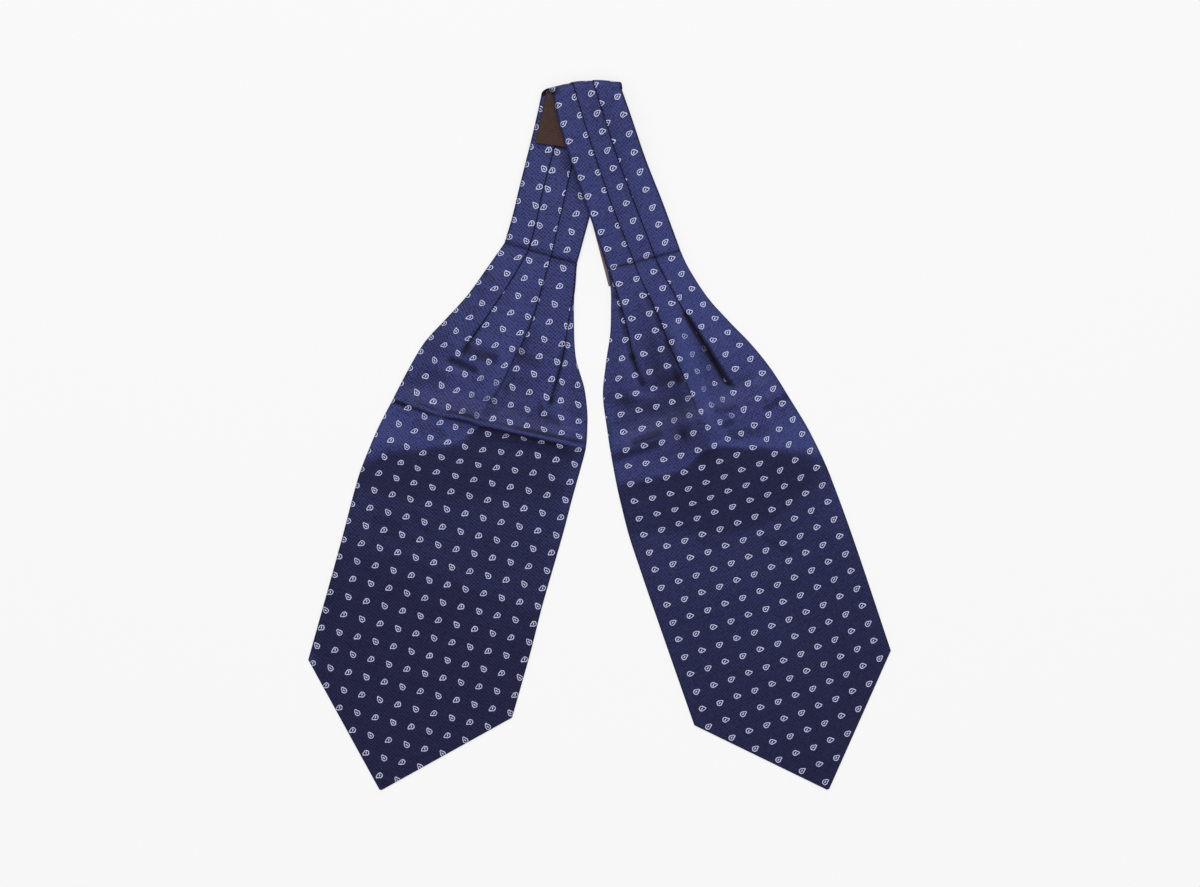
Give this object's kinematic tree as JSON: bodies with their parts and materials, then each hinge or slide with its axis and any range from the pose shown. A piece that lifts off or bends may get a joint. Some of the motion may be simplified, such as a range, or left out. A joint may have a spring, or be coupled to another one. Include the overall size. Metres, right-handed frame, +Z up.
{
  "type": "silk cravat",
  "caption": "Pleated silk ascot cravat laid flat and folded at the neck, its two pointed blades fanning out below a narrow pleated neckband.",
  "frame": {"origin": "middle of the footprint's bounding box, on the surface that the cravat lies on", "axes": "+X across the two blades, +Y from the blades' points to the fold at the neck, +Z up out of the surface"},
  "size_m": [0.437, 0.5323, 0.0095],
  "materials": {
    "silk": "navy silk twill with a small woven paisley, soft sheen",
    "label_satin": "plain dark brown woven satin",
    "care_satin": "plain mid brown satin tape"
  },
  "bodies": {
    "root": {"neckband": "silk", "blade_left": "silk", "blade_right": "silk", "neck_label": "label_satin", "care_label": "care_satin"}
  },
  "joints": []
}
